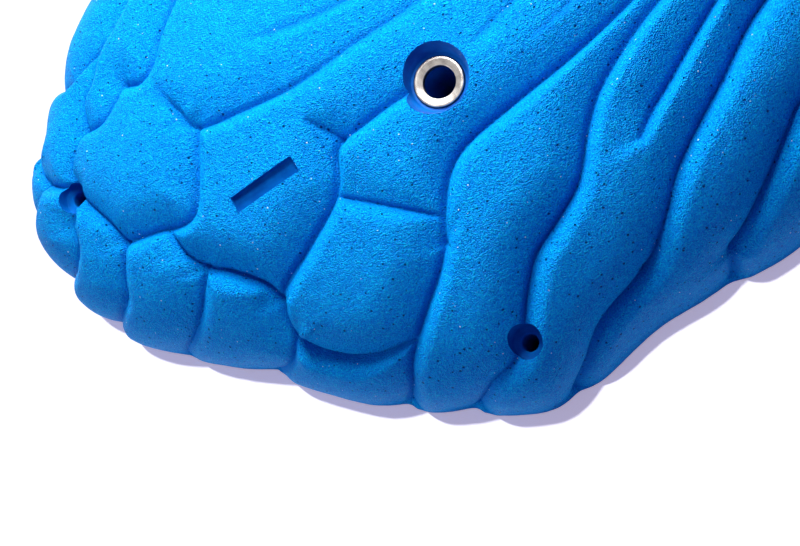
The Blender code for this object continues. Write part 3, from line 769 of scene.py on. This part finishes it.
smoothSkin = {
    "fineSize": 1.4,
    "streakSize": 9.0,
    "darkToLight": (0.35, 0.7),
    "fineRange": (0.3, 0.7),
    "bubbleSpacing": 6.0,
    "bubbleRadius": (0.3, 0.8),
    "bubbleShare": 0.25,
    "paintedBubbleShadeAmount": 0.6,
    "bubbleDrop": 2.0,
    "fineRise": 0.5,
    "depth": 0.12,
    "roughness": (0.42, 0.55),
}


def smoothCast(name):
    material, tree, shader = newMaterial(name)
    place, look = placeInMm(tree), smoothFaces[name] | smoothSkin
    fine = noise(place, look["fineSize"], 3.0)
    streaks = noise(place, look["streakSize"], 3.0, 0.6)
    bubbles = spots(place, look["bubbleSpacing"], look["bubbleRadius"], look["bubbleShare"])
    colour = mixColour(ease(streaks, *look["darkToLight"]), look["dark"], look["light"])
    # painted shade in the bubbles, with the same near-black colour as the pores
    colour = mixColour(bubbles * look["paintedBubbleShadeAmount"], colour, castSand["paintedPoreShade"])
    height = fine * look["fineRise"] + streaks - bubbles * look["bubbleDrop"]
    feed(shader, {"Base Color": colour, "Roughness": ease(fine, *look["fineRange"], *look["roughness"]),
                  "Normal": bump(height, look["depth"]), "Specular IOR Level": look["shine"]})
    return material


sandedFace = {
    "dark": (0.003, 0.15, 0.55),
    "light": (0.03, 0.26, 0.7),
    "darkToLight": (0.35, 0.68),
    "strokes": ((0.6, 0.05, 0.7), (-0.9, 0.06, 0.9)),  # turn, stretch and spacing of each sanding pass
    "strokeShares": (0.6, 0.4),
    "strokeDepth": 0.1,
    "strokeStrength": 0.7,
    "roughness": 0.68,
}


def sandedBack():
    material, tree, shader = newMaterial("sandedBack")
    place = placeInMm(tree)

    def scratches(turn, stretch, spacing):
        stretched = addNode(tree, "ShaderNodeMapping", None, {
            "Vector": place, "Rotation": (0.0, 0.0, turn), "Scale": (stretch, 1.0, 1.0)})
        return noise(stretched, spacing, 4.0, 0.7)

    first, second = (scratches(*stroke) * share
                     for stroke, share in zip(sandedFace["strokes"], sandedFace["strokeShares"]))
    both = first + second
    colour = mixColour(ease(both, *sandedFace["darkToLight"]), sandedFace["dark"], sandedFace["light"])
    feed(shader, {"Base Color": colour, "Roughness": sandedFace["roughness"],
                  "Normal": bump(both, sandedFace["strokeDepth"], sandedFace["strokeStrength"])})
    return material


steel = {
    "dull": (0.31, 0.28, 0.265),
    "bright": (0.50, 0.47, 0.44),
    "dullToBright": (0.3, 0.75),
    "patchSize": 3.0,
    "toolMarks": 9.0,  # for each mm from the axis
    "patchRise": 0.4,
    "markDepth": 0.03,
    "markStrength": 0.6,
    "wearRange": (0.4, 1.1),
    "patchWear": 0.5,
    "roughness": (0.2, 0.42),
}


def turnedSteel():
    material, tree, shader = newMaterial("turnedSteel")
    place = placeInMm(tree)
    fromAxis = place.vector("SUBTRACT", tuple(c / mm for c in boltAxis))
    radius = fromAxis.vector("MULTIPLY", (1.0, 1.0, 0.0)).vector("LENGTH").out("Value")
    marks = addNode(tree, "ShaderNodeTexNoise", {"noise_dimensions": "1D"},
                    {"W": radius, "Scale": steel["toolMarks"], "Detail": 2.0})
    patches = noise(place, steel["patchSize"], 3.0)
    colour = mixColour(ease(patches, *steel["dullToBright"]), steel["dull"], steel["bright"])
    height = marks + patches * steel["patchRise"]
    wear = marks + patches * steel["patchWear"]
    feed(shader, {"Base Color": colour, "Metallic": 1.0,
                  "Normal": bump(height, steel["markDepth"], steel["markStrength"]),
                  "Roughness": ease(wear, *steel["wearRange"], *steel["roughness"])})
    return material


# The body: relief, cuts, then its four finishes by where each face lies

finishZones = {
    "innerShare": 0.62,  # below this share of the dome's size a face is inside the casting
    "counterboreRadius": 13.5,
    "wallSlope": 0.55,
    "boreRadius": 10.5,
    "boreTop": 56.0,
    "skinFoot": 1.0,  # the skin is above this height, and the flat back below it
    "backHeight": 0.05,
    "backSlope": -0.9,
    "slack": 0.05,
    "sharpAngle": 38.0,
}


# Each face gets its place in the list of finishes: 0 sand, 1 smooth with painted shade, 2 sanded back, 3
# dark pocket with painted shade, also the recess
def finishNumbers(mesh, recessAxes, recessMiddle):
    zones = finishZones
    centres, normals = fromFrame(readVectors(mesh.polygons, "center")), readVectors(mesh.polygons, "normal")
    x, y, height = centres.T
    fromBolt, bearing, slope = np.hypot(x, y), np.arctan2(y, x), normals[:, 2]
    share = (fromBolt / rimRadius(bearing)) ** dome["shoulderExponent"]
    share += np.maximum(height / dome["height"], 0.0) ** dome["crownExponent"]
    number = np.where(share < zones["innerShare"], 1, 0)
    number[(fromBolt < zones["counterboreRadius"]) & (np.abs(slope) < zones["wallSlope"])] = 1
    number[(fromBolt < zones["boreRadius"]) & (height < zones["boreTop"])] = 1
    for place in screwPlaces.values():
        fromScrew = np.hypot(*(centres[:, :2] - place).T)
        number[fromScrew < holes["screwPocket"] / 2 + zones["slack"]] = 3
    cutter = np.array([holes["recessLength"] / 2, holes["recessWidth"] / 2, holes["overshoot"]])
    fromRecess = np.abs((centres - recessMiddle) @ recessAxes)
    number[(fromRecess < cutter + zones["slack"]).all(axis=1)] = 3
    number[(height < zones["backHeight"]) & (slope < zones["backSlope"])] = 2
    return number.astype(np.int32)


def buildBody():
    # the two smooth finishes are darker blue, painted shade for the hollows they cover
    finishes = [sandyCast(), smoothCast("counterboreCast"), sandedBack(), smoothCast("pocketCast")]
    body = reliefSkin(finishes[0])
    skin = fromFrame(readVectors(body.data.vertices, "co"))
    recess, *recessPlace = recessTool(skin[skin[:, 2] > finishZones["skinFoot"]])
    tools = [hollowTool(), boltTool(), recess]
    tools += [screwTool(name, *place, holes["screwDepth"][name]) for name, place in screwPlaces.items()]
    body = cutAway(body, tools)
    mesh = body.data
    mesh.materials.clear()
    for material in finishes:
        mesh.materials.append(material)
    mesh.polygons.foreach_set("material_index", finishNumbers(mesh, *recessPlace))
    mesh.shade_smooth()
    mesh.set_sharp_from_angle(angle=math.radians(finishZones["sharpAngle"]))
    mesh.update()
    print("hold body", len(mesh.polygons), "faces")
    return body


washer = {
    "bore": 11.0,
    "diameter": 17.0,
    "thickness": 3.0,
    "proud": 0.8,
    "outerEdge": 0.3,
    "edgeMiddle": 0.3,  # share of outerEdge that the middle of that rounding stands in
    "lowerEdge": 0.2,
    "boreRound": ((0.0, 0.25), (0.08, 0.07), (0.25, 0.0)),  # outward and down from the bore's upper corner
    "flatWidth": 0.6,
    "dishDepth": 0.55,
    "dishLip": (0.15, 0.03),  # inward and down from the flat's inner edge
    "segments": 128,
    "sharpAngle": 50.0,
}


def buildWasher():
    top = dome["height"] - holes["counterboreDepth"] + washer["proud"]
    bottom, dishFloor = top - washer["thickness"], top - washer["dishDepth"]
    outer, inner = washer["diameter"] / 2, washer["bore"] / 2
    edge, low, middle = washer["outerEdge"], washer["lowerEdge"], washer["edgeMiddle"] * washer["outerEdge"]
    flatEdge = outer - edge - washer["flatWidth"]
    inward, down = washer["dishLip"]
    profile = [(outer - edge, top), (outer - middle, top - middle), (outer, top - edge),
               (outer, bottom + low), (outer - low, bottom), (inner + low, bottom), (inner, bottom + low)]
    profile += [(inner + out, dishFloor - drop) for out, drop in washer["boreRound"]]
    profile += [(flatEdge - inward, top - down), (flatEdge, top)]
    ring = lathe("boltWasher", profile, washer["segments"])
    ring.data.materials.append(turnedSteel())
    ring.data.shade_smooth()
    ring.data.set_sharp_from_angle(angle=math.radians(washer["sharpAngle"]))
    print("washer", len(ring.data.polygons), "faces")
    return ring


# Floor, light and camera

photoView = {  # pixels are those of the 800 x 546 photograph
    "imageSize": (800.0, 546.0),
    "focalPixels": 1800.0,
    "nadirPixel": (985.0, 508.0),
    "alongRecess": (0.849, -0.528),
    "washerPixel": (440.5, 82.8),
    "pixelsPerMm": 3.09,
    "washerHeight": 52.0,
    "sensorWidth": 36.0,
    "clipStart": 0.01,
}


def photoCamera():
    width, height = photoView["imageSize"]
    focal = photoView["focalPixels"]
    centre = np.array([width / 2, height / 2])
    nadir = np.append(np.array(photoView["nadirPixel"]) - centre, focal)
    outward = -nadir / np.linalg.norm(nadir)
    along = np.array(photoView["alongRecess"])
    along = np.append(along, -(along @ outward[:2]) / outward[2])
    along /= np.linalg.norm(along)
    across = np.cross(outward, along)
    toCamera = np.column_stack([along, across, outward])  # columns are the hold's axes as the lens sees them
    depth = focal / photoView["pixelsPerMm"]
    seen = np.append((np.array(photoView["washerPixel"]) - centre) * depth / focal, depth)
    eye = np.array([0.0, 0.0, photoView["washerHeight"]]) - toCamera.T @ seen
    data = bpy.data.cameras.new("photoCamera")
    data.sensor_width = photoView["sensorWidth"]
    data.lens = data.sensor_width * focal / width
    data.clip_start = photoView["clipStart"]
    camera = newObject("photoCamera", data)
    turn = Matrix((toCamera[0], -toCamera[1], -toCamera[2])).transposed().to_4x4()
    camera.matrix_world = Matrix.Translation(boltAxis + Vector(eye) * mm) @ turn
    bpy.context.scene.camera = camera


floorLook = {
    "halfWidth": 3.0,  # metres
    "squares": 8,
    "height": -0.2,  # a little under the back, so that the two faces never share one plane
    "colour": (0.95, 0.945, 0.955),
    "glow": (0.31, 0.25, 0.24),  # only the camera sees it, so it adds no light to the hold
    "roughness": 0.9,
    "shine": 0.1,
}


def paleFloor():
    bm = bmesh.new()
    squares = floorLook["squares"]
    bmesh.ops.create_grid(bm, x_segments=squares, y_segments=squares, size=floorLook["halfWidth"])
    bmesh.ops.translate(bm, vec=(0.0, 0.0, floorLook["height"] * mm), verts=bm.verts)
    mesh = bpy.data.meshes.new("paleFloor")
    bm.to_mesh(mesh)
    bm.free()
    floor = newObject("paleFloor", mesh)
    material, tree, shader = newMaterial("paleFloor")
    seen = addNode(tree, "ShaderNodeLightPath").out("Is Camera Ray")
    feed(shader, {"Base Color": (*floorLook["colour"], 1.0), "Roughness": floorLook["roughness"],
                  "Specular IOR Level": floorLook["shine"], "Emission Strength": 1.0,
                  "Emission Color": mixColour(seen, (0.0, 0.0, 0.0), floorLook["glow"])})
    floor.data.materials.append(material)
    return floor


lamps = {  # distance and size in metres, power in watts
    "key": {"toward": (0.10, 0.82, 0.56), "distance": 0.55, "size": 0.22, "power": 5.3},
    "side": {"toward": (-0.94, -0.08, 0.34), "distance": 0.8, "size": 0.4, "power": 1.8},
    "top": {"toward": (0.17, 0.42, 0.89), "distance": 0.32, "size": 0.1, "power": 0.7},
    "floor": {"toward": (0.04, 0.25, 0.967), "distance": 3.0, "size": 0.12, "power": 68.0},
}

room = {
    "ambient": (0.14, 0.15, 0.35),  # lights the hold
    "backdrop": (1.0, 1.0, 1.0),  # seen by the camera, in reflections and through what is clear
}


# Three lamps light the hold alone, and one only draws the short shadow on the floor

def areaLight(name, floor):
    lamp = lamps[name]
    toward = Vector(lamp["toward"]).normalized()
    data = bpy.data.lights.new(name + "Light", "AREA")
    data.shape = "DISK"
    data.size = lamp["size"]
    data.energy = lamp["power"]
    light = newObject(name + "Light", data)
    light.location = toward * lamp["distance"]
    light.rotation_euler = toward.to_track_quat("Z", "Y").to_euler()
    group = bpy.data.collections.new(name + "Receivers")
    group.objects.link(floor)
    light.light_linking.receiver_collection = group
    state = "INCLUDE" if name == "floor" else "EXCLUDE"
    group.collection_objects[0].light_linking.link_state = state


def paleRoom():
    world = bpy.data.worlds.new("paleRoom")
    bpy.context.scene.world = world
    world.use_nodes = True
    tree = world.node_tree
    path = addNode(tree, "ShaderNodeLightPath")
    seen = path.out("Is Camera Ray").math("MAXIMUM", path.out("Is Glossy Ray"))
    seen = seen.math("MAXIMUM", path.out("Is Transmission Ray"))
    feed(tree.nodes["Background"], {"Color": mixColour(seen, room["ambient"], room["backdrop"])})


bpy.context.scene.view_settings.view_transform = "Standard"
photoCamera()
floorPiece = paleFloor()
for lampName in lamps:
    areaLight(lampName, floorPiece)
paleRoom()
print("stage set")

holdBody = buildBody()
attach(holdBody, "root")
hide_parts("hold_body")

boltWasher = buildWasher()
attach(boltWasher, "root")
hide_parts("bolt_washer")
